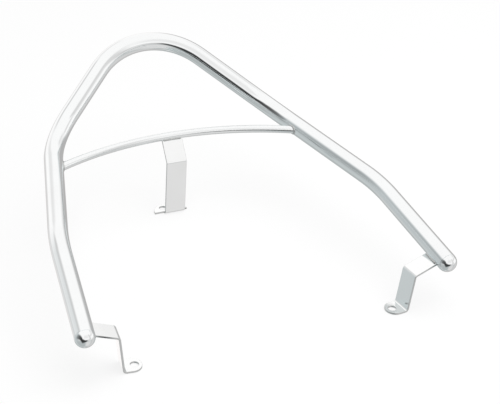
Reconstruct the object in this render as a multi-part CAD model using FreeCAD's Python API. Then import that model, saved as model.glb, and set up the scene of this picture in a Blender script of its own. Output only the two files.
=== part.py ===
import FreeCAD, Part
import os
from math import degrees, hypot, sin, sqrt, tan

# A chromed tandem grab bar for the tail of a motorcycle. Millimetres. X runs across the bar,
# Y from the open front ends to the raised rear loop, Z up. The origin lies midway between the
# fixing holes of the two side brackets, on the underside of their tabs.

V = FreeCAD.Vector
UP = V(0, 0, 1)

# Round tube of the bar: corners of its centre line on the right side, and its bends. The bar
# mirrors across X = 0, where the top of the loop lies.
TUBE_D = 19.1
TUBE_WALL = 1.6
FRONT_END_X = 181.4
FRONT_END_Y = -8.4
FRONT_END_Z = 49.4
KNEE_X = 167.4
KNEE_Y = 108.5
KNEE_Z = 74.3
SHOULDER_X = 121.7
SHOULDER_Y = 270.9
SHOULDER_Z = 87.3
APEX_Y = 358.2
APEX_Z = 177.7
KNEE_BEND_R = 206.0
SHOULDER_BEND_R = 85.0
APEX_BEND_R = 78.6

# Domed caps that close the front ends of the tube.
CAP_SPIGOT_L = 9.0
CAP_SPIGOT_CHAMFER = 1.0

# Round cross bar between the two sides of the tube, bowed to the rear in a level plane.
CROSS_BAR_D = 8.0
CROSS_BAR_BOW_R = 300.0
CROSS_BAR_MID_Y = 252.7

# Folded sheet of the three brackets.
SHEET_T = 2.0
BEND_INNER_R = 2.0
HOLE_D = 8.0

# Side brackets. Distances are taken from the fixing hole, square to the tube.
SIDE_HOLE_X = 131.8
SIDE_WIDTH = 20.0
SIDE_TAB_END = 7.0
SIDE_WEB_FOOT = 10.6
SIDE_WEB_HEAD = 15.2
SIDE_HEIGHT = 39.9
SIDE_FLANGE_DROP = 2.5

# Centre bracket. Its foot is longer than the web is wide and carries the hole off to one side;
# the left rear corner of the foot is one large round that leaves a short land at the front.
CENTRE_WEB_Y = 234.4
CENTRE_WIDTH = 22.0
CENTRE_FOLD_Z = 61.7
CENTRE_FOOT_LEFT = 21.0
CENTRE_FOOT_RIGHT = 14.5
CENTRE_FOOT_REAR = 17.6
CENTRE_FOOT_RIGHT_R = 6.0
CENTRE_FOOT_LAND = 1.0
CENTRE_HOLE_FROM_LEFT = 11.3

# Weld beads. Those along the sheet stop short of its edges.
BAR_WELD_LEG = 1.3
SHEET_WELD_R = 1.8
SHEET_WELD_STOP = 1.0

FRONT_END = V(FRONT_END_X, FRONT_END_Y, FRONT_END_Z)
KNEE = V(KNEE_X, KNEE_Y, KNEE_Z)
SHOULDER = V(SHOULDER_X, SHOULDER_Y, SHOULDER_Z)
APEX = V(0, APEX_Y, APEX_Z)
TUBE_R = TUBE_D / 2
BORE_R = TUBE_R - TUBE_WALL
BAR_R = CROSS_BAR_D / 2


def mirrored(point):
    """The same point on the other side of the bar."""
    return V(-point.x, point.y, point.z)


def other_side(shape):
    """The same shape on the other side of the bar."""
    return shape.mirror(V(0, 0, 0), V(1, 0, 0))


def unit(vector):
    """The vector at length one."""
    return V(vector).normalize()


def line(a, b):
    """A straight edge."""
    return Part.LineSegment(a, b).toShape()


def rounded_path(corners, radii):
    """Edges of a path through the corners, each inner corner rounded to its radius."""
    edges = []
    start = corners[0]
    for before, corner, after, radius in zip(corners, corners[1:], corners[2:], radii):
        back = unit(before - corner)
        ahead = unit(after - corner)
        half = back.getAngle(ahead) / 2
        centre = corner + unit(back + ahead) * (radius / sin(half))
        bend_in = corner + back * (radius / tan(half))
        bend_out = corner + ahead * (radius / tan(half))
        middle = centre + unit(corner - centre) * radius
        edges.append(line(start, bend_in))
        edges.append(Part.Arc(bend_in, middle, bend_out).toShape())
        start = bend_out
    edges.append(line(start, corners[-1]))
    return edges


def disc(centre, axis, outer_r, inner_r=0.0):
    """A flat round face, with a round hole if an inner radius is given."""
    face = Part.Face(Part.Wire(Part.makeCircle(outer_r, centre, axis)))
    if inner_r:
        face = face.cut(Part.Face(Part.Wire(Part.makeCircle(inner_r, centre, axis)))).Faces[0]
    return face


def round_section(edges, outer_r, inner_r=0.0):
    """A round bar or tube along a path of straight runs and bends."""
    runs = []
    for edge in edges:
        start = edge.valueAt(edge.FirstParameter)
        heading = edge.tangentAt(edge.FirstParameter)
        face = disc(start, heading, outer_r, inner_r)
        if isinstance(edge.Curve, Part.Circle):
            turn = degrees(edge.LastParameter - edge.FirstParameter)
            runs.append(face.revolve(edge.Curve.Center, edge.Curve.Axis, turn))
        else:
            runs.append(face.extrude(heading * edge.Length))
    return runs[0].multiFuse(runs[1:]).removeSplitter().Solids[0]


def folded_strip(corners, radii, width_vector, normal_side):
    """A folded strip of sheet from the corners of one face, thickness on the given side.

    The radii belong to that face; a radius at the other face differs by the thickness.
    """
    forward = [unit(b - a) for a, b in zip(corners, corners[1:])]
    normals = [unit(normal_side.cross(way)) for way in forward]
    other = [corners[0] + normals[0] * SHEET_T]
    other_radii = []
    for index in range(1, len(corners) - 1):
        bisector = unit(normals[index - 1] + normals[index])
        other.append(corners[index] + bisector * (SHEET_T / bisector.dot(normals[index])))
        turns_to_other = normals[index - 1].dot(forward[index]) > 0
        step = -SHEET_T if turns_to_other else SHEET_T
        other_radii.append(radii[index - 1] + step)
    other.append(corners[-1] + normals[-1] * SHEET_T)
    edges = rounded_path(corners, radii)
    edges.append(line(corners[-1], other[-1]))
    edges += rounded_path(other[::-1], other_radii[::-1])
    edges.append(line(other[0], corners[0]))
    outline = Part.Wire(Part.__sortEdges__(edges))
    return Part.Face(outline).extrude(width_vector)


def bead(a, b, open_side):
    """A weld bead with rounded ends in the corner between two points at the sheet's edges.

    The open side is the direction in which the corner opens.
    """
    way = unit(b - a)
    a = a + way * (SHEET_WELD_STOP + SHEET_WELD_R)
    b = b - way * (SHEET_WELD_STOP + SHEET_WELD_R)
    across = unit(way.cross(open_side))
    side = across * SHEET_WELD_R
    back = way.cross(side)
    rod = Part.Face(Part.makePolygon([a, b, b + back, a + back, a])).revolve(a, way, 360)
    ends = []
    for end in (a, b):
        arc = Part.Arc(end + side, end + back, end - side).toShape()
        outline = Part.Wire([arc, line(end - side, end + side)])
        ends.append(Part.Face(outline).revolve(end, across, 360))
    return rod.multiFuse(ends).removeSplitter()


def reaches_wall(start, way, axis_point, axis, radius):
    """Where a line that starts inside a round bar leaves its wall."""
    offset = start - axis_point
    across = offset - axis * offset.dot(axis)
    travel = way - axis * way.dot(axis)
    a = travel.dot(travel)
    b = across.dot(travel)
    c = across.dot(across) - radius ** 2
    return start + way * ((sqrt(b * b - a * c) - b) / a)


def largest(shape):
    """The largest solid of a shape."""
    return max(shape.Solids, key=lambda solid: solid.Volume)


def tube_path():
    """Centre line of the tube from the left front end over the loop to the right one."""
    right = [SHOULDER, KNEE, FRONT_END]
    corners = [mirrored(point) for point in right[::-1]] + [APEX] + right
    radii = [KNEE_BEND_R, SHOULDER_BEND_R, APEX_BEND_R, SHOULDER_BEND_R, KNEE_BEND_R]
    return rounded_path(corners, radii)


def cross_bar_joint():
    """Where the axis of the cross bar meets the axis of the tube on the right side."""
    run = SHOULDER - KNEE
    bow_y = CROSS_BAR_MID_Y - CROSS_BAR_BOW_R
    a = run.x ** 2 + run.y ** 2
    b = KNEE.x * run.x + (KNEE.y - bow_y) * run.y
    c = KNEE.x ** 2 + (KNEE.y - bow_y) ** 2 - CROSS_BAR_BOW_R ** 2
    return KNEE + run * ((sqrt(b * b - a * c) - b) / a)


def make_cross_bar(tube_solid):
    """The bowed cross bar, its ends shaped to the wall of the tube."""
    joint = cross_bar_joint()
    bow = V(0, CROSS_BAR_MID_Y - CROSS_BAR_BOW_R, joint.z)
    start = V(joint - bow)
    turn = 2 * degrees(start.getAngle(V(0, 1, 0)))
    bar = disc(joint, UP.cross(start), BAR_R).revolve(bow, UP, turn)
    return largest(bar.cut(tube_solid))


def make_cap():
    """The domed cap of the right front end, with the spigot that sits in the tube."""
    way = unit(FRONT_END - KNEE)
    dome = Part.makeSphere(TUBE_R, FRONT_END, way, 0, 90, 360)
    straight = CAP_SPIGOT_L - CAP_SPIGOT_CHAMFER
    spigot = Part.makeCylinder(BORE_R, straight, FRONT_END, way * -1)
    nose_at = FRONT_END - way * straight
    nose_r = BORE_R - CAP_SPIGOT_CHAMFER
    nose = Part.makeCone(BORE_R, nose_r, CAP_SPIGOT_CHAMFER, nose_at, way * -1)
    return dome.multiFuse([spigot, nose]).removeSplitter().Solids[0]


class SideFrame:
    """Directions and places of the right side bracket, square to the tube above it."""

    def __init__(self):
        self.along = unit(V(KNEE.x - FRONT_END.x, KNEE.y - FRONT_END.y, 0))
        self.out = self.along.cross(UP)
        self.hole = V(SIDE_HOLE_X, 0, 0)
        self.tube_way = unit(KNEE - FRONT_END)
        end = FRONT_END - self.hole
        rise = self.tube_way.z / hypot(self.tube_way.x, self.tube_way.y)
        self.tube_out = end.dot(self.out)
        self.tube_z = end.z - end.dot(self.along) * rise

    def at(self, out, along, height):
        """A point from its distances to the fixing hole."""
        return self.hole + self.out * out + self.along * along + UP * height


def make_side_bracket(frame, tube_solid):
    """The right side bracket: flange to the tube, web, and tab with a half-round end."""
    half = SIDE_WIDTH / 2
    tab_centre = half - SIDE_TAB_END
    corners = [
        frame.at(frame.tube_out, -half, frame.tube_z - SIDE_FLANGE_DROP),
        frame.at(SIDE_WEB_HEAD, -half, SIDE_HEIGHT),
        frame.at(SIDE_WEB_FOOT, -half, SHEET_T),
        frame.at(tab_centre, -half, SHEET_T),
    ]
    radii = [BEND_INNER_R + SHEET_T, BEND_INNER_R]
    strip = folded_strip(corners, radii, frame.along * SIDE_WIDTH, frame.along * -1)
    near = frame.at(tab_centre, -half, 0)
    far = frame.at(tab_centre, half, 0)
    tip = frame.at(-SIDE_TAB_END, 0, 0)
    outline = Part.Wire([Part.Arc(near, tip, far).toShape(), line(far, near)])
    end = Part.Face(outline).extrude(UP * SHEET_T)
    hole = Part.makeCylinder(HOLE_D / 2, 3 * SHEET_T, frame.hole - UP * SHEET_T)
    bracket = strip.fuse(end).removeSplitter().cut(hole)
    return largest(bracket.cut(tube_solid))


def make_side_weld(frame, bracket, tube_solid):
    """The bead along the upper side of the flange of the right side bracket."""
    flange = frame.at(frame.tube_out, 0, frame.tube_z - SIDE_FLANGE_DROP)
    inward = unit(frame.at(SIDE_WEB_HEAD, 0, SIDE_HEIGHT) - flange)
    ends = []
    for along in (-SIDE_WIDTH / 2, SIDE_WIDTH / 2):
        start = flange + frame.along * along
        ends.append(reaches_wall(start, inward, FRONT_END, frame.tube_way, TUBE_R))
    open_side = inward + frame.along.cross(inward)
    return largest(bead(ends[0], ends[1], open_side).cut(tube_solid).cut(bracket))


def centre_corners():
    """Corners of the front face of the centre bracket, from the cross bar to the foot."""
    axis = V(0, CROSS_BAR_MID_Y, cross_bar_joint().z)
    fold = V(0, CENTRE_WEB_Y, CENTRE_FOLD_Z)
    front = V(1, 0, 0).cross(unit(axis - fold))
    head = axis + front * (SHEET_T / 2)
    foot = V(0, CENTRE_WEB_Y, 0)
    rear = V(0, CENTRE_WEB_Y + CENTRE_FOOT_REAR, 0)
    return [head, fold, foot, rear]


def make_centre_bracket(cross_bar):
    """The centre bracket: sloping head under the cross bar, web, and foot behind the web."""
    outer_r = BEND_INNER_R + SHEET_T
    side = V(CENTRE_WIDTH / 2, 0, 0)
    corners = [corner - side for corner in centre_corners()]
    strip = folded_strip(corners, [outer_r, outer_r], side * 2, V(1, 0, 0))
    front = CENTRE_WEB_Y + outer_r
    rear = CENTRE_WEB_Y + CENTRE_FOOT_REAR
    outline = [
        V(-CENTRE_FOOT_LEFT, front, 0),
        V(-CENTRE_FOOT_LEFT, rear, 0),
        V(CENTRE_FOOT_RIGHT, rear, 0),
        V(CENTRE_FOOT_RIGHT, front, 0),
    ]
    left_r = rear - front - CENTRE_FOOT_LAND
    edges = rounded_path(outline, [left_r, CENTRE_FOOT_RIGHT_R])
    edges.append(line(outline[-1], outline[0]))
    foot = Part.Face(Part.Wire(edges)).extrude(UP * SHEET_T)
    hole_at = V(CENTRE_HOLE_FROM_LEFT - CENTRE_FOOT_LEFT, (front + rear) / 2, -SHEET_T)
    hole = Part.makeCylinder(HOLE_D / 2, 3 * SHEET_T, hole_at)
    bracket = strip.fuse(foot).removeSplitter().cut(hole)
    return largest(bracket.cut(cross_bar))


def make_centre_weld(bracket, cross_bar):
    """The bead along the front of the centre bracket, under the cross bar."""
    head, fold = centre_corners()[:2]
    axis = V(0, CROSS_BAR_MID_Y, cross_bar_joint().z)
    down = unit(fold - head)
    corner = reaches_wall(head, down, axis, V(1, 0, 0), BAR_R)
    side = V(CENTRE_WIDTH / 2, 0, 0)
    open_side = down + down.cross(V(1, 0, 0))
    return largest(bead(corner - side, corner + side, open_side).cut(cross_bar).cut(bracket))


def make_bar_weld(cross_bar, tube_solid):
    """The bead around the right end of the cross bar, close to the wall of the tube."""
    joint = cross_bar_joint()
    bow = V(0, CROSS_BAR_MID_Y - CROSS_BAR_BOW_R, joint.z)
    inward = unit(UP.cross(joint - bow))
    tube_way = unit(SHOULDER - KNEE)
    band_from = joint - tube_way * TUBE_D
    band = Part.makeCylinder(TUBE_R + BAR_WELD_LEG, 2 * TUBE_D, band_from, tube_way)
    collar = Part.makeCylinder(BAR_R + BAR_WELD_LEG, 2 * TUBE_D, joint, inward)
    return largest(collar.common(band).cut(tube_solid).cut(cross_bar))


def make_parts():
    """All pieces of the bar by name."""
    path = tube_path()
    tube_solid = round_section(path, TUBE_R)
    parts = {"main_tube": round_section(path, TUBE_R, BORE_R)}
    parts["cross_bar"] = make_cross_bar(tube_solid)
    frame = SideFrame()
    bracket = make_side_bracket(frame, tube_solid)
    sided = {
        "end_cap": make_cap(),
        "side_bracket": bracket,
        "side_bracket_weld": make_side_weld(frame, bracket, tube_solid),
        "cross_bar_weld": make_bar_weld(parts["cross_bar"], tube_solid),
    }
    for name, shape in sided.items():
        parts[name + "_right"] = shape
        parts[name + "_left"] = other_side(shape)
    parts["centre_bracket"] = make_centre_bracket(parts["cross_bar"])
    parts["centre_bracket_weld"] = make_centre_weld(parts["centre_bracket"], parts["cross_bar"])
    return parts


os.makedirs("parts", exist_ok=True)
for name, shape in make_parts().items():
    shape.exportStep(os.path.join("parts", name + ".step"))
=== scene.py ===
import logging
import math
from dataclasses import dataclass
from enum import Enum
from typing import Any, Callable, Sequence

import bmesh
import bpy
from bpy.types import Material, Mesh, Node, NodeSocket, NodeTree, Object
from mathutils import Matrix, Vector


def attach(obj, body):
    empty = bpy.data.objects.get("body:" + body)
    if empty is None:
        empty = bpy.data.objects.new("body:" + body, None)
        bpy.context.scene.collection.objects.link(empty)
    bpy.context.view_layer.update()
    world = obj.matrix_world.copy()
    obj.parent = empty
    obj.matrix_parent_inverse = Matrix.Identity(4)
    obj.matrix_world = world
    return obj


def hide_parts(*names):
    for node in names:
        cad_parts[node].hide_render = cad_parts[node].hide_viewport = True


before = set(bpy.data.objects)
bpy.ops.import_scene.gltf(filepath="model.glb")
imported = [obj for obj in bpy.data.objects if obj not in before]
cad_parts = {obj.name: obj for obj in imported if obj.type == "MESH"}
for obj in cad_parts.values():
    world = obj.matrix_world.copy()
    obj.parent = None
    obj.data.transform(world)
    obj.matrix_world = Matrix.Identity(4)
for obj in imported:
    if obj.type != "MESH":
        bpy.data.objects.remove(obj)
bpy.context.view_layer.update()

# A chromed tandem grab bar for the tail of a motorcycle: a bent tube with a raised rear loop and
# domed front ends, a thin bowed cross bar, two folded side brackets and a centre bracket. Sizes
# are in millimetres and are the part's own; meshes are in metres, in the part's frame.

MM = 0.001
BODY = "root"
X_AXIS = Vector((1.0, 0.0, 0.0))
UP = Vector((0.0, 0.0, 1.0))
LOG = logging.getLogger("grab_bar")
SWAY_PER_METRE = 290.0  # swings of a weld's ripples along a bead
SWAY_SHARE = 0.5  # of a ripple, by which its place may vary
MERGE_WITHIN = 0.5e-6  # metres; vertices that are closer become one
SHARP_OVER = 40.0  # degrees; edges of the round pieces that turn by more stay sharp
HOLE_SIDES = 64
FULL_TURN = 2 * math.pi


class Side(Enum):
    """The two sides of the bar, as seen from its open front ends."""

    RIGHT = 1
    LEFT = -1

    @property
    def label(self) -> str:
        """The word that ends the names of this side's pieces."""
        return self.name.lower()

    def place(self, point: Vector) -> Vector:
        """A point of the right side, moved to this side."""
        return Vector((point.x * self.value, point.y, point.z))


class Lay(Enum):
    """Which way the fine polishing marks of a surface run."""

    AROUND = "around"
    ALL_WAYS = "all ways"


# ---- Small tools ----


def linear_rgba(code: str) -> tuple[float, float, float, float]:
    """Turns an sRGB hex colour into linear values.

    Args:
        code: the colour as #rrggbb.

    Returns:
        Linear red, green and blue, and an alpha of one.
    """
    parts = [int(code[i : i + 2], 16) / 255 for i in (1, 3, 5)]
    linear = [c / 12.92 if c <= 0.04045 else ((c + 0.055) / 1.055) ** 2.4 for c in parts]
    return (*linear, 1.0)


def add_node(
    tree: NodeTree, kind: str, links: dict[str | int, Any] | None = None, **settings: Any
) -> Node:
    """Adds a node with its settings and links.

    Args:
        tree: the tree that gets the node.
        kind: the node's type.
        links: for an input's name or number, the node or output that feeds it, or its value; a
            node stands for its first output.
        settings: properties of the node.

    Returns:
        The node.
    """
    node = tree.nodes.new(kind)
    for name, value in settings.items():
        setattr(node, name, value)
    for key, value in (links or {}).items():
        if isinstance(value, (Node, NodeSocket)):
            source = value.outputs[0] if isinstance(value, Node) else value
            tree.links.new(source, node.inputs[key])
        else:
            node.inputs[key].default_value = value
    return node


def reaches_wall(
    start: Vector, way: Vector, axis_point: Vector, axis: Vector, radius: float
) -> Vector:
    """Finds where a line that starts inside a round bar leaves its wall.

    Args:
        start: a point inside the bar.
        way: direction of the line.
        axis_point: a point on the bar's axis.
        axis: direction of the bar's axis.
        radius: radius of the bar.

    Returns:
        The point on the wall.
    """
    offset = start - axis_point
    across = offset - axis * offset.dot(axis)
    travel = way - axis * way.dot(axis)
    a = travel.dot(travel)
    b = across.dot(travel)
    c = across.dot(across) - radius**2
    return start + way * ((math.sqrt(b * b - a * c) - b) / a)


def new_object(name: str, data: Any) -> Object:
    """Puts a mesh, a lamp or a camera into the scene as an object at the origin.

    Args:
        name: name of the object and of its data.
        data: the mesh, lamp or camera.

    Returns:
        The object.
    """
    data.name = name
    obj = bpy.data.objects.new(name, data)
    bpy.context.scene.collection.objects.link(obj)
    return obj


def empty_tree(owner: Any) -> NodeTree:
    """Gives a material or a world an empty node tree.

    Args:
        owner: the material or the world.

    Returns:
        The tree.
    """
    owner.use_nodes = True
    owner.node_tree.nodes.clear()
    return owner.node_tree


def plain_mesh(obj: Object) -> Mesh:
    """Takes an object's mesh with its modifiers applied, and removes the object.

    Args:
        obj: an object with live modifiers.

    Returns:
        The finished mesh.
    """
    bpy.context.view_layer.update()
    depsgraph = bpy.context.evaluated_depsgraph_get()
    mesh = bpy.data.meshes.new_from_object(
        obj.evaluated_get(depsgraph), preserve_all_data_layers=True, depsgraph=depsgraph
    )
    bpy.data.objects.remove(obj)
    return mesh


def closed_mesh(bm: bmesh.types.BMesh, sharp: float | None = None) -> Mesh:
    """Merges doubles, turns all faces outwards and makes a smooth mesh.

    Args:
        bm: the shape, in metres; it is freed.
        sharp: the angle in degrees over which an edge stays sharp, if any does.

    Returns:
        The mesh.
    """
    bmesh.ops.remove_doubles(bm, verts=bm.verts[:], dist=MERGE_WITHIN)
    bmesh.ops.dissolve_degenerate(bm, dist=MERGE_WITHIN, edges=bm.edges[:])
    bmesh.ops.recalc_face_normals(bm, faces=bm.faces[:])
    for face in bm.faces:
        face.smooth = True
    mesh = bpy.data.meshes.new("closed")
    bm.to_mesh(mesh)
    bm.free()
    if sharp is not None:
        mesh.set_sharp_from_angle(angle=math.radians(sharp))
    return mesh


def skin(bm: bmesh.types.BMesh, rings: Sequence[Sequence[bmesh.types.BMVert]]) -> None:
    """Joins rings of vertices, each to the next, with bands of faces.

    Args:
        bm: the shape.
        rings: the rings, all with the same number of vertices.
    """
    for low, high in zip(rings, rings[1:]):
        for i in range(len(low)):
            j = (i + 1) % len(low)
            bm.faces.new((low[i], low[j], high[j], high[i]))


def in_order(edges: Sequence[bmesh.types.BMEdge]) -> list[bmesh.types.BMVert]:
    """Puts the vertices of one closed ring of edges in order.

    Args:
        edges: the edges of the ring, in any order.

    Returns:
        The vertices, each next to its neighbours.
    """
    ring, left = list(edges[0].verts), list(edges[1:])
    while left:
        edge = next(e for e in left if ring[-1] in e.verts)
        left.remove(edge)
        ring.append(edge.other_vert(ring[-1]))
    return ring[:-1]


def spread(start: float, end: float, steps: int) -> list[float]:
    """Values in even steps, with both ends."""
    return [start + (end - start) * i / steps for i in range(steps + 1)]


def spokes(across: Vector, up: Vector, count: int) -> list[Vector]:
    """Directions all around, in the plane of two that are square to each other."""
    angles = spread(0.0, FULL_TURN, count)[:-1]
    return [across * math.cos(angle) + up * math.sin(angle) for angle in angles]


def way_to(bearing: float, elevation: float) -> Vector:
    """Gives the direction at a bearing from the front and an elevation.

    Args:
        bearing: degrees from the front, -Y, towards the right, +X.
        elevation: degrees above the floor.

    Returns:
        The direction.
    """
    turn, rise = math.radians(bearing), math.radians(elevation)
    level = math.cos(rise)
    return Vector((math.sin(turn) * level, -math.cos(turn) * level, math.sin(rise)))


def add_piece(node: str, mesh: Mesh, material: Material) -> None:
    """Makes a finished piece that stands for a node of the part and is named for it.

    Args:
        node: the node that it replaces.
        mesh: its mesh, in place.
        material: its finish.
    """
    mesh.materials.append(material)
    piece = new_object(f"plated_{node}", mesh)
    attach(piece, BODY)
    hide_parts(node)
    LOG.info("%s: %d faces, for %s", piece.name, len(mesh.polygons), node)


# ---- Finish ----


@dataclass(frozen=True)
class ChromePlate:
    """Bright chromium over nickel on steel, electroplated on a polished or a pressed surface.

    It gives the eye a pale, faintly blue mirror. The plate copies what lies under it, so a
    buffed tube shows a clear mirror with slow waves, a drawn bar a softer one, a pressed sheet a
    slightly peened one, and a weld bead a cloudy grey one. On sheared edges and in punched holes
    the plate is thin and satin, so they show as grey outlines.
    """

    name: str
    colour: str = "#eef4f5"
    thin_colour: str = "#e9eeef"
    patch_mm: float = 34.0
    patch_detail: float = 3.0
    patch_rough: float = 0.55
    patch_span: tuple[float, float] = (0.3, 0.75)
    smooth: float = 0.035
    dull: float = 0.085
    wave_mm: float = 16.0
    wave_depth_mm: float = 0.008
    wave_detail: float = 1.0
    grain_mm: float = 1.4
    grain_depth_mm: float = 0.0003
    grain_detail: float = 3.0
    line_mm: float = 0.45
    line_depth_mm: float = 0.00025
    lay: Lay = Lay.ALL_WAYS
    sheared_colour: str = ""
    sheared_dull: float = 0.34

    def material(self) -> Material:
        """Builds the material, or gives the one that is there.

        Returns:
            The material.
        """
        made = bpy.data.materials.get(self.name)
        if made:
            return made
        made = bpy.data.materials.new(self.name)
        tree = empty_tree(made)
        place = add_node(tree, "ShaderNodeTexCoord").outputs["Object"]
        patches = add_node(
            tree, "ShaderNodeTexNoise",
            {"Vector": place, "Scale": 1 / (self.patch_mm * MM),
             "Detail": self.patch_detail, "Roughness": self.patch_rough},
        )
        colour = add_node(
            tree, "ShaderNodeMix",
            {"Factor": patches.outputs["Fac"], "A": linear_rgba(self.thin_colour),
             "B": linear_rgba(self.colour)},
            data_type="RGBA",
        ).outputs["Result"]
        low, high = self.patch_span
        dulling = add_node(
            tree, "ShaderNodeMapRange",
            {"Value": patches.outputs["Fac"], "From Min": low, "From Max": high,
             "To Min": self.dull, "To Max": self.smooth},
        )
        if self.sheared_colour:
            sheared = add_node(tree, "ShaderNodeAttribute", attribute_name="sheared").outputs["Fac"]
            colour = add_node(
                tree, "ShaderNodeMix",
                {"Factor": sheared, "A": colour, "B": linear_rgba(self.sheared_colour)},
                data_type="RGBA",
            ).outputs["Result"]
            dulling = add_node(
                tree, "ShaderNodeMix", {"Factor": sheared, "A": dulling, "B": self.sheared_dull}
            )
        shader = add_node(
            tree, "ShaderNodeBsdfPrincipled",
            {"Base Color": colour, "Roughness": dulling, "Metallic": 1.0,
             "Normal": self._relief(tree, place)},
        )
        add_node(tree, "ShaderNodeOutputMaterial", {"Surface": shader})
        return made

    def _relief(self, tree: NodeTree, place: NodeSocket) -> Node:
        """Adds the waves, the grain and the polishing marks of the surface.

        Args:
            tree: the material's tree.
            place: the coordinates of the surface.

        Returns:
            The node that gives the normal.
        """
        reliefs = []
        for size, depth, detail in (
            (self.wave_mm, self.wave_depth_mm, self.wave_detail),
            (self.grain_mm, self.grain_depth_mm, self.grain_detail),
        ):
            noise = add_node(
                tree, "ShaderNodeTexNoise",
                {"Vector": place, "Scale": 1 / (size * MM), "Detail": detail},
            )
            reliefs.append((noise, depth))
        if self.lay is Lay.AROUND:
            # Buffing marks run around the tube: close together along it, long around it. Real
            # ones are hundredths of a millimetre apart; they are drawn ten times as coarse.
            run = add_node(tree, "ShaderNodeAttribute", attribute_name="run").outputs["Fac"]
            spaced = add_node(
                tree, "ShaderNodeMath", {0: run, 1: 1 / (self.line_mm * MM)}, operation="MULTIPLY"
            )
            marks = add_node(
                tree, "ShaderNodeTexNoise",
                {"Vector": place, "W": spaced, "Scale": 1 / (self.wave_mm * MM),
                 "Detail": self.wave_detail},
                noise_dimensions="4D",
            )
            reliefs.append((marks, self.line_depth_mm))
        links: dict[str | int, Any] = {}
        for noise, depth in reliefs:
            links |= {"Height": noise.outputs["Fac"], "Distance": depth * MM}
            links["Normal"] = add_node(tree, "ShaderNodeBump", links)
        return links["Normal"]


BUFFED_TUBE = ChromePlate("chrome_on_buffed_steel_tube", lay=Lay.AROUND)
DRAWN_BAR = ChromePlate(
    "chrome_on_drawn_steel_bar", smooth=0.14, dull=0.22, wave_depth_mm=0.004, lay=Lay.AROUND
)
BUFFED_CAP = ChromePlate("chrome_on_buffed_steel_cap", wave_depth_mm=0.004)
PRESSED_SHEET = ChromePlate(
    "chrome_on_pressed_steel_sheet",
    colour="#f4f9fa",
    thin_colour="#eef3f3",
    smooth=0.08,
    dull=0.15,
    wave_mm=13.0,
    wave_depth_mm=0.06,
    grain_mm=0.9,
    grain_depth_mm=0.0012,
    sheared_colour="#d0d4d4",
)
WELD_BEAD = ChromePlate(
    "chrome_on_weld_bead",
    colour="#dce1e1",
    thin_colour="#aaadac",
    patch_mm=5.0,
    smooth=0.10,
    dull=0.24,
    wave_mm=3.0,
    wave_depth_mm=0.03,
    grain_mm=0.5,
    grain_depth_mm=0.004,
)


# ---- Node trees that sweep a round section along a path ----


class SweepTree:
    """A geometry tree with named inputs that turns a path into a finished round piece."""

    def __init__(self, name: str, inputs: dict[str, float]) -> None:
        """Makes the empty tree.

        Args:
            name: name of the tree.
            inputs: each input's name and default; the path and the material are added to them.
        """
        self.tree = bpy.data.node_groups.new(name, "GeometryNodeTree")
        sockets = self.tree.interface
        sockets.new_socket("Path", in_out="INPUT", socket_type="NodeSocketGeometry")
        for label, value in inputs.items():
            kind = "NodeSocketInt" if isinstance(value, int) else "NodeSocketFloat"
            sockets.new_socket(label, in_out="INPUT", socket_type=kind).default_value = value
        sockets.new_socket("Material", in_out="INPUT", socket_type="NodeSocketMaterial")
        sockets.new_socket("Piece", in_out="OUTPUT", socket_type="NodeSocketGeometry")
        self.entry = add_node(self.tree, "NodeGroupInput").outputs

    def close(self, made: Node) -> None:
        """Ends the tree in smooth, real geometry with its material.

        Args:
            made: the node that gives what the tree has made.
        """
        smooth = add_node(self.tree, "GeometryNodeSetShadeSmooth", {"Geometry": made})
        real = add_node(self.tree, "GeometryNodeRealizeInstances", {"Geometry": smooth})
        coated = add_node(
            self.tree, "GeometryNodeSetMaterial",
            {"Geometry": real, "Material": self.entry["Material"]},
        )
        add_node(self.tree, "NodeGroupOutput", {"Piece": coated})

    def mesh(self, path: Mesh, values: dict[str, Any]) -> Mesh:
        """Runs the tree on a path.

        Args:
            path: a mesh of edges.
            values: the inputs by name.

        Returns:
            The swept mesh.
        """
        obj = new_object("path", path)
        modifier = obj.modifiers.new("sweep", "NODES")
        modifier.node_group = self.tree
        for item in self.tree.interface.items_tree:
            if item.in_out == "INPUT" and item.name in values:
                modifier[item.identifier] = values[item.name]
        return plain_mesh(obj)


def path_mesh(
    points: Sequence[Vector], radii: Sequence[float] = (), closed: bool = False
) -> Mesh:
    """Makes a path of straight edges, in metres.

    Args:
        points: its corners in millimetres.
        radii: bend radius at each corner, kept as the attribute bend_radius.
        closed: whether the last corner joins the first.

    Returns:
        The path.
    """
    edges = [(i, i + 1) for i in range(len(points) - 1)]
    if closed:
        edges.append((len(points) - 1, 0))
    mesh = bpy.data.meshes.new("path")
    mesh.from_pydata([point * MM for point in points], edges, [])
    bends = mesh.attributes.new("bend_radius", "FLOAT", "POINT")
    for item, radius in zip(bends.data, radii):
        item.value = radius * MM
    return mesh


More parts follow.
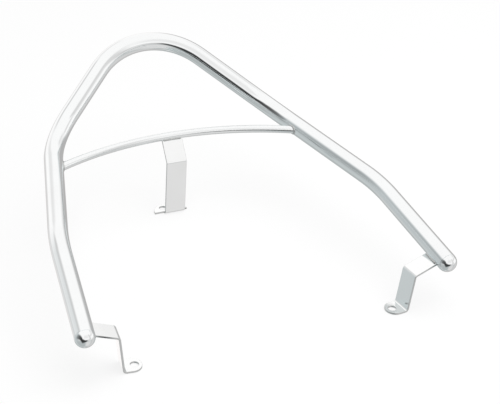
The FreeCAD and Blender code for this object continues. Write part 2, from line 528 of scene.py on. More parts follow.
def tube_tree() -> SweepTree:
    """Makes the tree that bends a path at its corners and sweeps a round section along it.

    Returns:
        The tree.
    """
    sweep = SweepTree(
        "bent_round_section", {"Section Radius": 0.01, "Section Sides": 96, "Bend Steps": 48}
    )
    tree, entry = sweep.tree, sweep.entry
    line = add_node(tree, "GeometryNodeMeshToCurve", {"Mesh": entry["Path"]})
    radius = add_node(
        tree, "GeometryNodeInputNamedAttribute", {"Name": "bend_radius"}, data_type="FLOAT"
    )
    bent = add_node(
        tree, "GeometryNodeFilletCurve",
        {"Curve": line, "Count": entry["Bend Steps"], "Radius": radius, "Limit Radius": True},
        mode="POLY",
    )
    length = add_node(tree, "GeometryNodeSplineParameter").outputs["Length"]
    marked = add_node(
        tree, "GeometryNodeStoreNamedAttribute",
        {"Geometry": bent, "Name": "run", "Value": length},
        data_type="FLOAT", domain="POINT",
    )
    section = add_node(
        tree, "GeometryNodeCurvePrimitiveCircle",
        {"Resolution": entry["Section Sides"], "Radius": entry["Section Radius"]},
    )
    swept = add_node(tree, "GeometryNodeCurveToMesh", {"Curve": marked, "Profile Curve": section})
    sweep.close(swept)
    return sweep


def bead_tree() -> SweepTree:
    """Makes the tree that lays a rippled weld bead along a path.

    Returns:
        The tree.
    """
    sweep = SweepTree(
        "rippled_weld_bead",
        {"Bead Radius": 0.0018, "Ripple Pitch": 0.0021, "Ripple Depth": 0.2, "Step": 0.00015,
         "Closed": 0.0, "Seed": 3.0, "Sides": 20},
    )
    tree, entry = sweep.tree, sweep.entry
    line = add_node(tree, "GeometryNodeMeshToCurve", {"Mesh": entry["Path"]})
    fine = add_node(
        tree, "GeometryNodeResampleCurve", {"Curve": line, "Length": entry["Step"]}, mode="LENGTH"
    )
    length = add_node(tree, "GeometryNodeSplineParameter").outputs["Length"]
    seeded = add_node(tree, "ShaderNodeMath", {0: length, 1: entry["Seed"]}, operation="ADD")
    sway = add_node(
        tree, "ShaderNodeTexNoise",
        {"W": seeded, "Scale": SWAY_PER_METRE, "Detail": 0.0}, noise_dimensions="1D",
    )
    found = {
        "length": length,
        "whole": add_node(tree, "GeometryNodeSplineLength").outputs["Length"],
        "sway": sway.outputs["Fac"],
        "pitch": entry["Ripple Pitch"],
        "depth": entry["Ripple Depth"],
        "radius": entry["Bead Radius"],
        "closed": entry["Closed"],
    }
    # Each sum: its name, what it does and what it takes. First come the ripples, then the ends.
    sums = (
        ("ripples", "DIVIDE", "whole", "pitch"),
        ("count", "ROUND", "ripples"),
        ("turned", "MULTIPLY", "length", "count"),
        ("phase", "DIVIDE", "turned", "whole"),
        ("swayed", "MULTIPLY_ADD", "sway", SWAY_SHARE, "phase"),
        ("part", "FRACT", "swayed"),
        ("centred", "MULTIPLY_ADD", "part", 2.0, -1.0),
        ("square", "POWER", "centred", 2.0),
        ("rest", "SUBTRACT", 1.0, "square"),
        ("crown", "SQRT", "rest"),
        ("gap", "SUBTRACT", 1.0, "crown"),
        ("dip", "MULTIPLY", "gap", "depth"),
        ("ripple", "SUBTRACT", 1.0, "dip"),
        ("left", "SUBTRACT", "whole", "length"),
        ("to_end", "MINIMUM", "length", "left"),
        ("share", "DIVIDE", "to_end", "radius"),
        ("capped", "MINIMUM", "share", 1.0),
        ("open", "MAXIMUM", "capped", "closed"),
        ("missing", "SUBTRACT", 1.0, "open"),
        ("inner", "POWER", "missing", 2.0),
        ("outer", "SUBTRACT", 1.0, "inner"),
        ("taper", "SQRT", "outer"),
        ("shape", "MULTIPLY", "ripple", "taper"),
        ("size", "MULTIPLY", "shape", "radius"),
    )
    for label, operation, *terms in sums:
        values = {index: found.get(term, term) for index, term in enumerate(terms)}
        found[label] = add_node(tree, "ShaderNodeMath", values, operation=operation)
    section = add_node(
        tree, "GeometryNodeCurvePrimitiveCircle", {"Resolution": entry["Sides"], "Radius": 1.0}
    )
    swept = add_node(
        tree, "GeometryNodeCurveToMesh",
        {"Curve": fine, "Profile Curve": section, "Scale": found["size"]},
    )
    sweep.close(swept)
    return sweep


# ---- Tube, caps and cross bar ----


@dataclass
class MainTube:
    """The bent tube, from the left front end over the raised loop to the right front end."""

    diameter: float = 19.1
    wall: float = 1.6
    front_end: tuple[float, float, float] = (181.4, -8.4, 49.4)
    knee: tuple[float, float, float] = (167.4, 108.5, 74.3)
    shoulder: tuple[float, float, float] = (121.7, 270.9, 87.3)
    apex: tuple[float, float, float] = (0.0, 358.2, 177.7)
    knee_bend: float = 206.0
    shoulder_bend: float = 85.0
    apex_bend: float = 78.6
    sides: int = 112
    bend_steps: int = 64

    @property
    def radius(self) -> float:
        """Outer radius of the tube."""
        return self.diameter / 2

    @property
    def front_way(self) -> Vector:
        """Direction in which the right front end points."""
        return (Vector(self.front_end) - Vector(self.knee)).normalized()

    @property
    def side_way(self) -> Vector:
        """Direction of the right side between knee and shoulder."""
        return (Vector(self.shoulder) - Vector(self.knee)).normalized()

    def path(self) -> Mesh:
        """Lays the corners of the whole centre line.

        Returns:
            The path, from the left front end to the right one.
        """
        right = [Vector(p) for p in (self.shoulder, self.knee, self.front_end)]
        left = [Side.LEFT.place(p) for p in reversed(right)]
        bends = [self.shoulder_bend, self.knee_bend, 0.0]
        radii = [*reversed(bends), self.apex_bend, *bends]
        return path_mesh([*left, Vector(self.apex), *right], radii)

    def build(self, sweep: SweepTree) -> None:
        """Builds the tube with its bore and open ends.

        Args:
            sweep: the tree that bends and sweeps a round section.
        """
        finish = BUFFED_TUBE.material()
        bm = bmesh.new()
        for radius in (self.radius, self.radius - self.wall):
            sizes = {"Section Radius": radius * MM, "Section Sides": self.sides,
                     "Bend Steps": self.bend_steps, "Material": finish}
            bm.from_mesh(sweep.mesh(self.path(), sizes))
        middle = (self.radius - self.wall / 2) * MM
        for side in Side:
            rims = [e for e in bm.edges if e.is_boundary and e.verts[0].co.x * side.value > 0]
            end = side.place(Vector(self.front_end)) * MM
            bore = {v for e in rims for v in e.verts if (v.co - end).length < middle}
            for edge in rims:
                if edge.verts[0] not in bore:
                    first, last = edge.verts
                    inner = [min(bore, key=lambda v: (v.co - w.co).length) for w in (last, first)]
                    bm.faces.new((first, last, *inner))
        add_piece("main_tube", closed_mesh(bm, SHARP_OVER), finish)


@dataclass
class EndCap:
    """A domed cap with a spigot in the bore; a fine groove shows where it meets the tube."""

    tube: MainTube
    spigot: float = 9.0
    chamfer: float = 1.0
    groove: float = 0.28
    sides: int = 112
    rings: int = 40
    sharp_over: float = 35.0

    def profile(self) -> list[tuple[float, float]]:
        """Gives the half section.

        Returns:
            Distance along the axis from the tube's end, and radius, from spigot to dome.
        """
        radius = self.tube.radius
        bore = radius - self.tube.wall
        lip = radius - self.groove
        points = [(-self.spigot, 0.0), (-self.spigot, bore - self.chamfer)]
        points += [(self.chamfer - self.spigot, bore), (0.0, bore), (0.0, lip)]
        start = math.asin(self.groove / radius)
        dome = spread(start, math.pi / 2, self.rings)
        return points + [(radius * math.sin(a), radius * math.cos(a)) for a in dome]

    def build(self, side: Side) -> None:
        """Builds the cap of one side.

        Args:
            side: the side.
        """
        end = Vector(self.tube.front_end)
        way = self.tube.front_way
        across = way.cross(UP).normalized()
        ways = spokes(across, across.cross(way), self.sides)
        bm = bmesh.new()
        rings = []
        for along, radius in self.profile():
            centre = end + way * along
            rings.append([bm.verts.new(side.place(centre + w * radius) * MM) for w in ways])
        skin(bm, rings)
        mesh = closed_mesh(bm, self.sharp_over)
        add_piece(f"end_cap_{side.label}", mesh, BUFFED_CAP.material())


@dataclass
class CrossBar:
    """The thin round bar between the two sides of the tube, bowed to the rear in a level plane."""

    tube: MainTube
    diameter: float = 8.0
    bow: float = 300.0
    mid_y: float = 252.7
    seat: float = 0.25
    cut_back: float = 1.25
    bead: float = 1.15
    bead_points: int = 72
    sides: int = 64
    bend_steps: int = 96
    bend_fit: float = 0.9999

    @property
    def radius(self) -> float:
        """Radius of the bar."""
        return self.diameter / 2

    @property
    def joint(self) -> Vector:
        """Finds where the bar's axis meets the tube's axis on the right side.

        Returns:
            The point where they meet.
        """
        knee = Vector(self.tube.knee)
        run = Vector(self.tube.shoulder) - knee
        centre_y = self.mid_y - self.bow
        a = run.x**2 + run.y**2
        b = knee.x * run.x + (knee.y - centre_y) * run.y
        c = knee.x**2 + (knee.y - centre_y) ** 2 - self.bow**2
        return knee + run * ((math.sqrt(b * b - a * c) - b) / a)

    @property
    def inward(self) -> Vector:
        """Finds the way of the bar at the right joint.

        Returns:
            The direction, towards the middle.
        """
        joint = self.joint
        spoke = Vector((joint.x, joint.y - self.mid_y + self.bow, 0.0))
        return UP.cross(spoke).normalized()

    def axis_at(self, x: float) -> tuple[Vector, Vector]:
        """Gives the bar's axis at a distance from the middle.

        Args:
            x: the distance across the bar.

        Returns:
            The point on the axis and the direction there.
        """
        y = math.sqrt(self.bow**2 - x**2)
        point = Vector((x, self.mid_y - self.bow + y, self.joint.z))
        return point, Vector((y, -x, 0.0)).normalized()

    def wall_point(self, spoke: Vector) -> Vector:
        """Finds where a line along the bar meets the tube's wall.

        Args:
            spoke: the line's offset from the bar's axis.

        Returns:
            The point on the wall.
        """
        tube = self.tube
        return reaches_wall(
            self.joint + spoke, self.inward, Vector(tube.knee), tube.side_way, tube.radius
        )

    def build(self, sweep: SweepTree) -> None:
        """Builds the bar, its ends shaped to the wall of the tube.

        Args:
            sweep: the tree that bends and sweeps a round section.
        """
        joint, inward = self.joint, self.inward
        crown = joint + inward * (joint.x / -inward.x)
        corners = [Side.LEFT.place(joint), crown, joint]
        path = path_mesh(corners, [0.0, self.bow * self.bend_fit, 0.0])
        finish = DRAWN_BAR.material()
        sizes = {"Section Radius": self.radius * MM, "Section Sides": self.sides,
                 "Bend Steps": self.bend_steps, "Material": finish}
        bm = bmesh.new()
        bm.from_mesh(sweep.mesh(path, sizes))
        trim = self.tube.radius * self.cut_back * MM
        for side in Side:
            axis = side.place(self.tube.side_way)
            knee = side.place(Vector(self.tube.knee)) * MM
            buried = []
            for vert in bm.verts:
                if vert.co.x * side.value > 0:
                    offset = vert.co - knee
                    if (offset - axis * offset.dot(axis)).length < trim:
                        buried.append(vert)
            bmesh.ops.delete(bm, geom=buried, context="VERTS")
            rim = [e for e in bm.edges if e.is_boundary and e.verts[0].co.x * side.value > 0]
            ring = in_order(rim)
            ends = []
            for vert in ring:
                spoke = side.place(vert.co) / MM - joint
                spoke -= inward * spoke.dot(inward)
                place = self.wall_point(spoke.normalized() * self.radius) - inward * self.seat
                ends.append(bm.verts.new(side.place(place) * MM))
            skin(bm, [ring, ends])
            bm.faces.new(ends)
        add_piece("cross_bar", closed_mesh(bm, SHARP_OVER), finish)

    def build_weld(self, side: Side, beads: SweepTree) -> None:
        """Builds the bead around one end of the bar.

        Args:
            side: the side.
            beads: the tree that lays a bead.
        """
        ways = spokes(self.inward.cross(UP), UP, self.bead_points)
        ring = [side.place(self.wall_point(way * self.radius)) for way in ways]
        lay_bead(f"cross_bar_weld_{side.label}", ring, self.bead, beads, closed=True)


def lay_bead(
    node: str, points: Sequence[Vector], radius: float, beads: SweepTree, closed: bool = False
) -> None:
    """Lays a weld bead and makes it a piece.

    Args:
        node: the node that it stands for.
        points: its path in millimetres.
        radius: its radius.
        beads: the tree that lays a bead.
        closed: whether the path is a ring.
    """
    finish = WELD_BEAD.material()
    sizes = {"Bead Radius": radius * MM, "Closed": float(closed), "Material": finish}
    bm = bmesh.new()
    bm.from_mesh(beads.mesh(path_mesh(points, closed=closed), sizes))
    add_piece(node, closed_mesh(bm), finish)


# ---- Folded sheet brackets ----


class FoldLine:
    """The line that one face of a folded strip follows, with its bends."""

    def __init__(self, corners: Sequence[Vector], radii: Sequence[float], hinge: Vector) -> None:
        """Works out the runs and bends.

        Args:
            corners: corners of the face.
            radii: radius of the face at each inner corner.
            hinge: direction of the bend axes; the sheet's thickness lies at hinge x way.
        """
        self.hinge = hinge
        self.parts: list[tuple[float, float, Vector, Vector, float]] = []
        self.bends: list[tuple[float, float]] = []
        at = 0.0
        start = corners[0]
        for before, corner, after, radius in zip(corners, corners[1:], corners[2:], radii):
            back = (before - corner).normalized()
            ahead = (after - corner).normalized()
            half = back.angle(ahead) / 2
            reach = radius / math.tan(half)
            run = (corner + back * reach - start).length
            self.parts.append((at, at + run, start, -back, 0.0))
            at += run
            turn = math.pi - 2 * half
            centre = corner + (back + ahead).normalized() * (radius / math.sin(half))
            self.parts.append((at, at + turn * radius, centre, -back, radius))
            self.bends.append((at, at + turn * radius))
            at += turn * radius
            start = corner + ahead * reach
        way = (corners[-1] - start).normalized()
        self.parts.append((at, math.inf, start, way, 0.0))
        self.length = at + (corners[-1] - start).length

    def point(self, u: float, w: float, h: float, width_way: Vector) -> Vector:
        """Maps a place on the flat sheet to the folded one.

        Args:
            u: distance along the sheet.
            w: distance across it.
            h: depth below its face.
            width_way: direction of the sheet's width.

        Returns:
            The place in millimetres.
        """
        for index, (low, high, origin, way, radius) in enumerate(self.parts):
            if u <= high:
                break
        if not radius:
            return origin + way * (u - low) + self.hinge.cross(way) * h + width_way * w
        last_origin, last_way = self.parts[index - 1][2:4]
        bend_in = last_origin + last_way * (low - self.parts[index - 1][0])
        spoke = bend_in - origin
        angle = (u - low) / radius
        place = origin + spoke * math.cos(angle) + way * (radius * math.sin(angle))
        heading = way * math.cos(angle) - spoke * (math.sin(angle) / radius)
        return place + self.hinge.cross(heading) * h + width_way * w


def arc_points(
    centre: tuple[float, float], radius: float, start: float, end: float, steps: int
) -> list[tuple[float, float]]:
    """Gives points on an arc of a flat outline.

    Args:
        centre: its centre.
        radius: its radius.
        start: its first angle in degrees.
        end: its last angle in degrees.
        steps: the number of steps.

    Returns:
        The points.
    """
    angles = [math.radians(angle) for angle in spread(start, end, steps)]
    return [(centre[0] + radius * math.cos(a), centre[1] + radius * math.sin(a)) for a in angles]


@dataclass
class SheetBlank:
    """A flat blank of steel sheet with broken edges, which is folded into a bracket."""

    outline: list[tuple[float, float]]
    holes: list[list[tuple[float, float]]]
    thickness: float = 2.0
    edge: float = 0.35
    edge_steps: int = 4
    bend_steps: int = 14
    cut_within: float = 1e-4
    end_within: float = 0.01
    flat_weight: int = 100

    def _levels(self) -> list[tuple[float, float]]:
        """Gives the loops of the rounded edge.

        Returns:
            The inset and depth of each loop, from the upper to the lower face.
        """
        turns = spread(0.0, math.pi / 2, self.edge_steps)
        top = [(self.edge * (1 - math.sin(a)), self.edge * (1 - math.cos(a))) for a in turns]
        return top + [(inset, self.thickness - depth) for inset, depth in reversed(top)]

    def solid(self) -> bmesh.types.BMesh:
        """Builds the flat blank.

        Returns:
            The blank, in millimetres, its length along x and its face at z = 0.
        """
        bm = bmesh.new()
        sheared = bm.verts.layers.float.new("sheared")
        tops, bottoms = [], []
        for loop in (self.outline, *self.holes):
            insets = self._inset_ways(loop)
            rings = []
            for inset, depth in self._levels():
                ring = [
                    bm.verts.new((p[0] + n[0] * inset, p[1] + n[1] * inset, depth))
                    for p, n in zip(loop, insets)
                ]
                rings.append(ring)
            for vert in (vert for ring in rings[1:-1] for vert in ring):
                vert[sheared] = 1.0
            skin(bm, rings)
            for ring, rims in ((rings[0], tops), (rings[-1], bottoms)):
                rims += [bm.edges.get(pair) for pair in zip(ring, [*ring[1:], ring[0]])]
        for rims in (tops, bottoms):
            bmesh.ops.triangle_fill(bm, use_beauty=True, edges=rims, normal=(0, 0, 1))
        return bm

    def _inset_ways(self, loop: list[tuple[float, float]]) -> list[tuple[float, float]]:
        """Gives, for each point of a loop, the step that moves both its edges inwards by one.

        Args:
            loop: the points; the outline runs anticlockwise and a hole clockwise.

        Returns:
            One step for each point.
        """
        ways = []
        for index, here in enumerate(loop):
            before, after = loop[index - 1], loop[(index + 1) % len(loop)]
            normals = []
            for a, b in ((before, here), (here, after)):
                size = math.hypot(b[0] - a[0], b[1] - a[1])
                normals.append((-(b[1] - a[1]) / size, (b[0] - a[0]) / size))
            (ax, ay), (bx, by) = normals
            share = 1 + ax * bx + ay * by
            ways.append(((ax + bx) / share, (ay + by) / share))
        return ways

    def fold(
        self,
        line: FoldLine,
        width_way: Vector,
        side: Side,
        ends_at: Callable[[Vector, Vector], Vector],
    ) -> Mesh:
        """Folds the blank.

        Args:
            line: the line that its face follows.
            width_way: direction of its width.
            side: the side of the bar.
            ends_at: for a point on the first run and the run's direction, the point where the
                sheet meets the round bar that it is welded to.

        Returns:
            The folded bracket, with the flat faces' own normals.
        """
        bm = self.solid()
        for low, high in line.bends:
            for cut in spread(low, high, self.bend_steps):
                everything = bm.verts[:] + bm.edges[:] + bm.faces[:]
                bmesh.ops.bisect_plane(
                    bm, geom=everything, dist=self.cut_within, plane_co=(cut, 0, 0), plane_no=X_AXIS
                )
        first = min(u for u, _ in self.outline) + self.edge + self.end_within
        way = line.parts[0][3]
        for vert in bm.verts:
            u, w, h = vert.co
            if u <= first:
                place = ends_at(line.point(0.0, w, h, width_way), way)
            else:
                place = line.point(u, w, h, width_way)
            vert.co = side.place(place) * MM
        obj = new_object("sheet", closed_mesh(bm))
        obj.modifiers.new("flat faces", "WEIGHTED_NORMAL").weight = self.flat_weight
        return plain_mesh(obj)


@dataclass(kw_only=True)
class FoldedBracket:
    """What both brackets share: a strip that ends on a round wall, and the bead that holds it."""

    width: float
    hole: float = 8.0
    thickness: float = 2.0
    bend: float = 2.0
    bead: float
    bead_stop: float = 1.0
    bead_steps: int = 24
    seat: float = 0.25

    def wall_point(self, start: Vector, way: Vector) -> Vector:
        """Where a line from inside the round bar leaves its wall."""
        raise NotImplementedError

    def ends_at(self, point: Vector, way: Vector) -> Vector:
        """The end of the sheet, just into the wall."""
        return self.wall_point(point, way) - way * self.seat

    def head_start(self, line: FoldLine) -> float:
        """How far from the start of the line the sheet begins."""
        start, way = line.parts[0][2:4]
        return (self.wall_point(start, way) - start).length

    def make(
        self,
        names: tuple[str, str],
        outline: list[tuple[float, float]],
        hole_at: tuple[float, float],
        line: FoldLine,
        width_way: Vector,
        side: Side,
        beads: SweepTree,
    ) -> None:
        """Cuts and folds the sheet and lays its bead.

        Args:
            names: the nodes of the bracket and of its bead.
            outline: the outline of the flat blank.
            hole_at: the middle of its hole.
            line: the line that it is folded along.
            width_way: direction of its width.
            side: the side of the bar.
            beads: the tree that lays a bead.
        """
        node, weld = names
        hole = arc_points(hole_at, self.hole / 2, 360, 0, HOLE_SIDES)[:-1]
        blank = SheetBlank(outline, [hole], self.thickness)
        mesh = blank.fold(line, width_way, side, self.ends_at)
        add_piece(node, mesh, PRESSED_SHEET.material())
        stop = self.width / 2 - self.bead_stop
        start, way = line.parts[0][2:4]
        path = []
        for across in spread(-stop, stop, self.bead_steps):
            path.append(side.place(self.wall_point(start + width_way * across, way)))
        lay_bead(weld, path, self.bead, beads)


@dataclass(kw_only=True)
class SideBracket(FoldedBracket):
    """A folded bracket: flange to the tube, web, and tab with a hole and a half-round end."""

    tube: MainTube
    hole_x: float = 131.8
    width: float = 20.0
    tab_end: float = 7.0
    web_foot: float = 10.6
    web_head: float = 15.2
    height: float = 39.9
    flange_drop: float = 2.5
    bead: float = 1.8
    tip_steps: int = 56

    def __post_init__(self) -> None:
        """Works out the directions square to the tube."""
        way = -self.tube.front_way
        self.along = Vector((way.x, way.y, 0.0)).normalized()
        self.out = self.along.cross(UP)
        end = Vector(self.tube.front_end) - Vector((self.hole_x, 0.0, 0.0))
        rise = way.z / math.hypot(way.x, way.y)
        self.tube_out = end.dot(self.out)
        self.tube_z = end.z - end.dot(self.along) * rise

    def at(self, out: float, along: float, height: float) -> Vector:
        """A point from its distances to the fixing hole."""
        hole = Vector((self.hole_x, 0.0, 0.0))
        return hole + self.out * out + self.along * along + UP * height

    def wall_point(self, start: Vector, way: Vector) -> Vector:
        """Where a line from inside the tube leaves its wall, on the straight front run."""
        tube = self.tube
        return reaches_wall(start, way, Vector(tube.front_end), tube.front_way, tube.radius)

    def line(self) -> FoldLine:
        """Lays the line of the upper face.

        Returns:
            The line, from the tube's axis to the tab.
        """
        corners = [
            self.at(self.tube_out, 0.0, self.tube_z - self.flange_drop),
            self.at(self.web_head, 0.0, self.height),
            self.at(self.web_foot, 0.0, self.thickness),
            self.at(self.width / 2 - self.tab_end, 0.0, self.thickness),
        ]
        return FoldLine(corners, [self.bend + self.thickness, self.bend], -self.along)

    def build(self, side: Side, beads: SweepTree) -> None:
        """Builds one bracket and its weld bead.

        Args:
            side: the side.
            beads: the tree that lays a bead.
        """
        line = self.line()
        half = self.width / 2
        start = self.head_start(line)
        tip = arc_points((line.length, 0.0), half, -90, 90, self.tip_steps)
        outline = [(start, -half), *tip, (start, half)]
        names = (f"side_bracket_{side.label}", f"side_bracket_weld_{side.label}")
        hole_at = (line.length + half - self.tab_end, 0.0)
        self.make(names, outline, hole_at, line, self.along, side, beads)


@dataclass(kw_only=True)
class CentreBracket(FoldedBracket):
    """The bracket under the cross bar: sloping head, web, and a foot that reaches to the left."""

    bar: CrossBar
    web_y: float = 234.4
    width: float = 22.0
    fold_z: float = 61.7
    foot_left: float = 21.0
    foot_right: float = 14.5
    foot_rear: float = 17.6
    right_round: float = 6.0
    land: float = 1.0
    hole_from_left: float = 11.3
    bead: float = 1.4
    left_steps: int = 32
    right_steps: int = 20

    def line(self) -> FoldLine:
        """Lays the line of the front face.

        Returns:
            The line, from the cross bar's axis to the rear of the foot.
        """
        axis = self.bar.axis_at(0.0)[0]
        fold = Vector((0.0, self.web_y, self.fold_z))
        front = X_AXIS.cross((axis - fold).normalized())
        head = axis + front * (self.thickness / 2)
        foot = Vector((0.0, self.web_y, 0.0))
        rear = Vector((0.0, self.web_y + self.foot_rear, 0.0))
        outer = self.bend + self.thickness
        return FoldLine([head, fold, foot, rear], [outer, outer], X_AXIS)

    def wall_point(self, start: Vector, way: Vector) -> Vector:
        """Where a line from inside the cross bar leaves its wall."""
        axis_point, axis = self.bar.axis_at(start.x)
        return reaches_wall(start, way, axis_point, axis, self.bar.radius)

    def outline(self, line: FoldLine, start: float) -> list[tuple[float, float]]:
        """Gives the outline of the flat blank.

        Args:
            line: the line that it is folded along.
            start: where the head begins.

        Returns:
            The points, anticlockwise.
        """
        half = self.width / 2
        front = line.bends[1][1]
        rear = line.length
        left_round = rear - front - self.land
        points = [(start, -half), (front, -half), (front, -self.foot_left)]
        points += arc_points(
            (front + self.land, left_round - self.foot_left), left_round, -90, 0, self.left_steps
        )
        corner = (rear - self.right_round, self.foot_right - self.right_round)
        points += arc_points(corner, self.right_round, 0, 90, self.right_steps)
        return points + [(front, self.foot_right), (front, half), (start, half)]

    def build(self, beads: SweepTree) -> None:
        """Builds the bracket and its weld bead.

        Args:
            beads: the tree that lays a bead.
        """
        line = self.line()
        outline = self.outline(line, self.head_start(line))
        middle = (line.bends[1][1] + line.length) / 2
        names = ("centre_bracket", "centre_bracket_weld")
        hole_at = (middle, self.hole_from_left - self.foot_left)
        self.make(names, outline, hole_at, line, X_AXIS, Side.RIGHT, beads)


# ---- Studio ----


@dataclass(frozen=True)
class Patch:
    """A soft-edged part of the tent around the bar, as its mirror surface sees it.

    Bearings are degrees from the front, -Y, towards the right, +X; elevations are degrees above
    the floor. A strength of one is the white of the background.
    """

    bearing: tuple[float, float]
    elevation: tuple[float, float]
    strength: float
    colour: str = "#fffaf9"
    fade: tuple[float, float] = (8.0, 8.0)

    def rgba(self) -> tuple[float, float, float, float]:
        """The patch's light."""
        red, green, blue, _ = linear_rgba(self.colour)
        return (red * self.strength, green * self.strength, blue * self.strength, 1.0)


@dataclass(frozen=True)
class DimOpening:
    """The dim room behind the open front of the tent, which the metal shows as a dark band.

    Each turn holds a bearing, the elevation of the band's middle there and half its height, in
    degrees, and how much of the tent it hides.
    """

    turns: tuple[tuple[float, float, float, float], ...] = (
        (-116.0, 8.0, 20.0, 0.0), (-96.0, 14.0, 22.0, 0.66), (-78.0, 18.0, 21.0, 0.91),
        (-62.0, 14.0, 21.0, 0.97), (-47.0, 3.0, 24.0, 1.0), (-35.0, -7.0, 21.0, 1.0),
        (-15.0, -7.0, 13.0, 1.0), (2.0, -4.0, 9.0, 0.95), (13.0, -3.0, 8.0, 0.40),
        (36.0, 1.0, 7.0, 0.20), (50.0, 3.0, 6.0, 0.0),
    )
    light: float = 0.055
    colour: str = "#f4f6f6"
    softness: float = 0.5

    def share(self, tree: NodeTree, bearing: Node, elevation: Node) -> Node:
        """Adds how much of the tent the opening hides in each direction.

        Args:
            tree: the world's tree.
            bearing: the node that gives a direction's bearing.
            elevation: the node that gives its elevation.

        Returns:
            The node that gives the share, from none to one.
        """
        low, high = self.turns[0][0], self.turns[-1][0]
        along = add_node(
            tree, "ShaderNodeMapRange", {"Value": bearing, "From Min": low, "From Max": high}
        )
        shape = []
        for column in (1, 2, 3):
            curve = add_node(tree, "ShaderNodeFloatCurve", {"Value": along})
            mapping = curve.mapping
            mapping.clip_min_y, mapping.clip_max_y = -90.0, 90.0  # degrees
            mapping.extend = "HORIZONTAL"
            points = mapping.curves[0].points
            for _ in self.turns[2:]:
                points.new(0.0, 0.0)
            for point, turn in zip(points, self.turns):
                point.location = ((turn[0] - low) / (high - low), turn[column])
            mapping.update()
            shape.append(curve)
        middle, half, depth = shape
        apart = add_node(tree, "ShaderNodeMath", {0: elevation, 1: middle}, operation="SUBTRACT")
        size = add_node(tree, "ShaderNodeMath", {0: apart}, operation="ABSOLUTE")
        part = add_node(tree, "ShaderNodeMath", {0: size, 1: half}, operation="DIVIDE")
        edge = add_node(
            tree, "ShaderNodeMapRange",
            {"Value": part, "From Min": 1 + self.softness, "From Max": 1 - self.softness},
            interpolation_type="SMOOTHSTEP",
        )
        return add_node(tree, "ShaderNodeMath", {0: edge, 1: depth}, operation="MULTIPLY")


@dataclass(frozen=True)
class Softbox:
    """A square soft lamp that points at the bar."""

    name: str
    bearing: float
    elevation: float
    distance: float
    size: float
    power: float

    def build(self, target: Vector) -> None:
        """Hangs the lamp.

        Args:
            target: the point it is aimed at.
        """
        data = bpy.data.lights.new(self.name, "AREA")
        data.size = self.size
        data.energy = self.power
        lamp = new_object(self.name, data)
        way = way_to(self.bearing, self.elevation)
        lamp.location = target + way * self.distance
        lamp.rotation_euler = way.to_track_quat("Z", "Y").to_euler()
        lamp.visible_camera = False
        lamp.visible_glossy = False


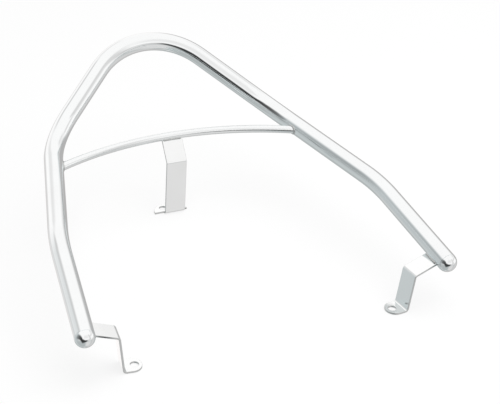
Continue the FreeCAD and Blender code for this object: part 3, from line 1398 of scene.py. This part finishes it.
@dataclass
class Studio:
    """A white light tent on a pale floor, open to a dim room at the front left."""

    floor_half: float = 9.0
    floor_drop: float = 0.0004
    floor_colour: str = "#f8f8f8"
    floor_white: float = 0.8
    surround: float = 0.5
    tent: Patch = Patch((-180, 180), (0, 90), 1.137)
    patches: tuple[Patch, ...] = (
        Patch((-190, 190), (-95, -1), 0.525, "#fcffff", (8, 18)),
        Patch((-150, -96), (-95, -2), 0.656, "#fcffff", (22, 14)),
        Patch((-200, -128), (-46, 0), 0.862, fade=(24, 14)),
        Patch((-200, -158), (-46, -4), 0.737, fade=(14, 12)),
        Patch((150, 200), (-46, 0), 0.75, fade=(20, 14)),
        Patch((164, 200), (-44, -27), 1.062, fade=(8, 6)),
        Patch((-200, -172), (-44, -27), 1.062, fade=(6, 6)),
        Patch((46, 122), (-95, -2), 0.737, fade=(20, 12)),
        Patch((-20, 60), (-75, -10), 0.825, fade=(24, 12)),
        Patch((90, 160), (-95, 31), 0.587, fade=(14, 26)),
        Patch((100, 158), (-40, 15), 0.525, fade=(12, 10)),
        Patch((84, 126), (20, 50), 0.906, fade=(14, 14)),
        Patch((-190, -158), (14, 42), 0.938, fade=(9, 11)),
        Patch((170, 190), (14, 42), 0.938, fade=(9, 11)),
        Patch((-164, -128), (20, 52), 0.75, fade=(12, 14)),
        Patch((-34, 34), (14, 60), 0.975, fade=(14, 14)),
        Patch((28, 57), (-14, 57), 0.812, fade=(12, 16)),
        Patch((44, 98), (15, 38), 0.86, fade=(16, 9)),
        Patch((-160, -60), (-40, 48), 0.631, "#f7fafb", (44, 25)),
    )
    opening: DimOpening = DimOpening()
    lamps: tuple[Softbox, ...] = (
        Softbox("overhead_softbox", 60.0, 75.0, 1.7, 2.0, 27.0),
    )
    lens: float = 108.0
    sensor: float = 36.0
    clip: tuple[float, float] = (0.05, 50.0)
    camera_place: tuple[float, float, float] = (-0.51834, -1.01325, 0.81778)
    camera_bearing: float = 25.8588
    camera_dip: float = 30.6229
    camera_roll: float = -3.6774
    middle: tuple[float, float, float] = (0.0, 0.16, 0.05)

    def seen(self, tree: NodeTree) -> Node:
        """Adds what tells a camera, glossy or transmission ray from the rest.

        Args:
            tree: the tree of the world or of a material.

        Returns:
            The node that gives one for these rays and none for the rest.
        """
        path = add_node(tree, "ShaderNodeLightPath").outputs
        share: Any = path["Is Camera Ray"]
        for kind in ("Is Glossy Ray", "Is Transmission Ray"):
            share = add_node(tree, "ShaderNodeMath", {0: share, 1: path[kind]}, operation="MAXIMUM")
        return share

    def tent_light(self, tree: NodeTree) -> NodeSocket:
        """Adds the light of the tent by bearing and elevation.

        Args:
            tree: the world's tree.

        Returns:
            The light from each direction.
        """
        way = add_node(tree, "ShaderNodeTexCoord").outputs["Generated"]
        x, y, z = add_node(tree, "ShaderNodeSeparateXYZ", {"Vector": way}).outputs
        front = add_node(tree, "ShaderNodeMath", {0: y, 1: -1.0}, operation="MULTIPLY")
        turn = add_node(tree, "ShaderNodeMath", {0: x, 1: front}, operation="ARCTAN2")
        rise = add_node(tree, "ShaderNodeMath", {0: z}, operation="ARCSINE")
        bearing, elevation = (
            add_node(tree, "ShaderNodeMath", {0: angle}, operation="DEGREES")
            for angle in (turn, rise)
        )
        light: Any = self.tent.rgba()
        for patch in self.patches:
            share = None
            spans = ((bearing, patch.bearing, patch.fade[0]),
                     (elevation, patch.elevation, patch.fade[1]))
            for angle, (low, high), fade in spans:
                for start, end in ((low, low + fade), (high, high - fade)):
                    edge = add_node(
                        tree, "ShaderNodeMapRange",
                        {"Value": angle, "From Min": start, "From Max": end},
                        interpolation_type="SMOOTHSTEP",
                    )
                    share = edge if share is None else add_node(
                        tree, "ShaderNodeMath", {0: share, 1: edge}, operation="MULTIPLY"
                    )
            light = add_node(
                tree, "ShaderNodeMix",
                {"Factor": share, "A": light, "B": patch.rgba()}, data_type="RGBA",
            ).outputs["Result"]
        opening = self.opening
        dim = Patch((0, 0), (0, 0), opening.light, opening.colour)
        return add_node(
            tree, "ShaderNodeMix",
            {"Factor": opening.share(tree, bearing, elevation), "A": light, "B": dim.rgba()},
            data_type="RGBA",
        ).outputs["Result"]

    def build_world(self) -> None:
        """Makes the background white to the eye, a tent to the metal, and a soft plain light."""
        world = bpy.data.worlds.new("white_tent")
        tree = empty_tree(world)
        path = add_node(tree, "ShaderNodeLightPath").outputs
        mirrored = add_node(
            tree, "ShaderNodeBackground", {"Color": self.tent_light(tree), "Strength": 1.0}
        )
        plain = (1.0, 1.0, 1.0, 1.0)
        white = add_node(tree, "ShaderNodeBackground", {"Color": plain, "Strength": 1.0})
        soft = add_node(tree, "ShaderNodeBackground", {"Color": plain, "Strength": self.surround})
        lit = add_node(tree, "ShaderNodeMixShader", {0: self.seen(tree), 1: soft, 2: mirrored})
        mixed = add_node(tree, "ShaderNodeMixShader", {0: path["Is Camera Ray"], 1: lit, 2: white})
        add_node(tree, "ShaderNodeOutputWorld", {"Surface": mixed})
        bpy.context.scene.world = world

    def build_floor(self) -> None:
        """Makes the floor: matt white card that keeps the bar's shadow."""
        half = self.floor_half
        mesh = bpy.data.meshes.new("floor")
        corners = ((-1, -1), (1, -1), (1, 1), (-1, 1))
        points = [(x * half, y * half, -self.floor_drop) for x, y in corners]
        mesh.from_pydata(points, [], [(0, 1, 2, 3)])
        material = bpy.data.materials.new("matt_white_card")
        tree = empty_tree(material)
        card = add_node(tree, "ShaderNodeBsdfDiffuse", {"Color": linear_rgba(self.floor_colour)})
        white = add_node(tree, "ShaderNodeEmission", {"Strength": 1.0})
        share = add_node(
            tree, "ShaderNodeMath", {0: self.seen(tree), 1: self.floor_white}, operation="MULTIPLY"
        )
        mixed = add_node(tree, "ShaderNodeMixShader", {0: share, 1: card, 2: white})
        add_node(tree, "ShaderNodeOutputMaterial", {"Surface": mixed})
        mesh.materials.append(material)
        floor = new_object("floor", mesh)
        floor.visible_glossy = False  # the metal shows the floor of the tent in its place

    def build_camera(self) -> None:
        """Sets the camera at the photograph's viewing angle."""
        bearing, roll = math.radians(self.camera_bearing), math.radians(self.camera_roll)
        ahead = -way_to(-self.camera_bearing, self.camera_dip)
        level = Vector((math.cos(bearing), -math.sin(bearing), 0.0))
        below = ahead.cross(level)
        right = level * math.cos(roll) + below * math.sin(roll)
        down = below * math.cos(roll) - level * math.sin(roll)
        data = bpy.data.cameras.new("camera")
        data.lens = self.lens
        data.sensor_width = self.sensor
        data.clip_start, data.clip_end = self.clip
        camera = new_object("camera", data)
        turn = Matrix((right, -down, -ahead)).transposed()
        camera.matrix_world = Matrix.Translation(Vector(self.camera_place)) @ turn.to_4x4()
        bpy.context.scene.camera = camera

    def build(self) -> None:
        """Builds the whole studio."""
        bpy.context.scene.view_settings.view_transform = "Standard"
        self.build_world()
        self.build_floor()
        for lamp in self.lamps:
            lamp.build(Vector(self.middle))
        self.build_camera()


def main() -> None:
    """Builds the bar piece by piece, then the studio."""
    logging.basicConfig(level=logging.INFO, format="%(name)s %(message)s")
    sweep = tube_tree()
    beads = bead_tree()
    tube = MainTube()
    tube.build(sweep)
    bar = CrossBar(tube)
    bar.build(sweep)
    cap = EndCap(tube)
    bracket = SideBracket(tube=tube)
    for side in Side:
        cap.build(side)
        bracket.build(side, beads)
        bar.build_weld(side, beads)
    CentreBracket(bar=bar).build(beads)
    Studio().build()


if __name__ == "__main__":
    main()
